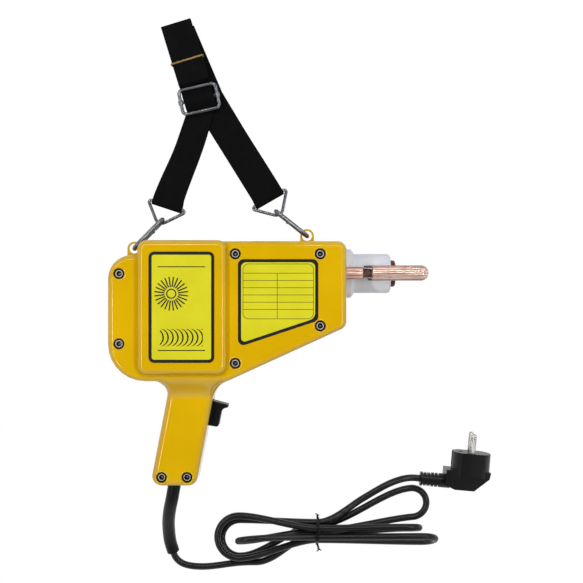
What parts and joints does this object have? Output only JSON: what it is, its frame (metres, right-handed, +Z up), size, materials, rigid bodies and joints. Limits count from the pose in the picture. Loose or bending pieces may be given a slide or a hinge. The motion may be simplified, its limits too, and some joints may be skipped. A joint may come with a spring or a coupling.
{
  "type": "stud welder",
  "caption": "Hand-held contact stud welder: moulded two-shell body with leaning trigger grip, copper nose, shoulder strap on snap hooks and a tied mains lead with an angled plug.",
  "frame": {"origin": "centre of the transformer block's back face, on which the welder lies", "axes": "+X towards the copper nose, +Y along the block towards the strap, +Z up out of the face it lies on"},
  "size_m": [0.3567, 0.5346, 0.0963],
  "materials": {
    "steel": "plated steel",
    "housing": "moulded golden yellow",
    "label": "printed film",
    "insert": "turned brass",
    "core": "stacked steel laminations",
    "copper": "bare copper, worn bright",
    "white_plastic": "white insulating plastic",
    "black_plastic": "moulded black",
    "board": "green circuit board",
    "black_rubber": "black rubber sheath",
    "webbing": "woven black webbing",
    "tan_rubber": "natural rubber band",
    "bright_wire": "bright plated wire"
  },
  "bodies": {
    "case": {"front_shell": "housing", "rear_shell": "housing", "case_screws": "steel", "thread_inserts": "insert", "block_label": "label", "panel_label": "label", "transformer_core": "core", "core_bolts": "steel", "bobbin": "black_plastic", "primary_winding": "copper", "secondary_winding": "copper", "rod_clamp": "copper", "electrode_clamp": "copper", "nose_sleeve": "white_plastic", "stud_electrode": "copper", "contact_rod": "copper", "contact_tip": "copper", "trigger_switch": "black_plastic", "timer_board": "board", "board_parts": "black_plastic", "terminal_block": "white_plastic", "cable_clamp": "black_plastic", "clamp_screws": "steel", "inner_cable": "black_rubber", "cord_boot": "black_rubber", "cord_lead": "black_rubber", "cord_hank": "black_rubber", "cord_tail": "black_rubber", "cord_tie": "black_plastic", "plug_body": "black_plastic", "plug_pins": "bright_wire", "earth_contacts": "bright_wire"},
    "trigger": {"trigger": "black_plastic", "switch_plunger": "white_plastic"},
    "sling": {"strap_left": "webbing", "strap_right": "webbing", "strap_bundle": "webbing", "strap_band": "tan_rubber", "buckle_frame": "bright_wire", "buckle_bar": "bright_wire", "ring_left": "bright_wire", "ring_right": "bright_wire", "hook_left": "steel", "hook_right": "steel", "gate_pins": "steel"},
    "gate_left": {"gate_left": "steel"},
    "gate_right": {"gate_right": "steel"}
  },
  "joints": [
    {"name": "trigger_press", "type": "slide", "parent": "case", "child": "trigger", "axis": [-0.982, 0.1891, 0], "range_m": [0, 0.006], "stiffness_N_per_m": 500, "springref_m": -0.004},
    {"name": "sling_swing", "type": "hinge", "parent": "case", "child": "sling", "pos_m": [-0.0486, 0.0541, 0.0465], "axis": [0.9974, 0.0724, 0], "range_deg": [-10, 38]},
    {"name": "gate_left_open", "type": "hinge", "parent": "sling", "child": "gate_left", "pos_m": [-0.03323, 0.07079, 0.03415], "axis": [-0.7359, 0.6771, -0.0006], "range_deg": [0, 25], "stiffness_Nm_per_rad": 0.02, "springref_deg": -28.65},
    {"name": "gate_right_open", "type": "hinge", "parent": "sling", "child": "gate_right", "pos_m": [0.09488, 0.08009, 0.03415], "axis": [-0.6303, -0.7763, 0.0006], "range_deg": [0, 25], "stiffness_Nm_per_rad": 0.02, "springref_deg": -28.65}
  ]
}
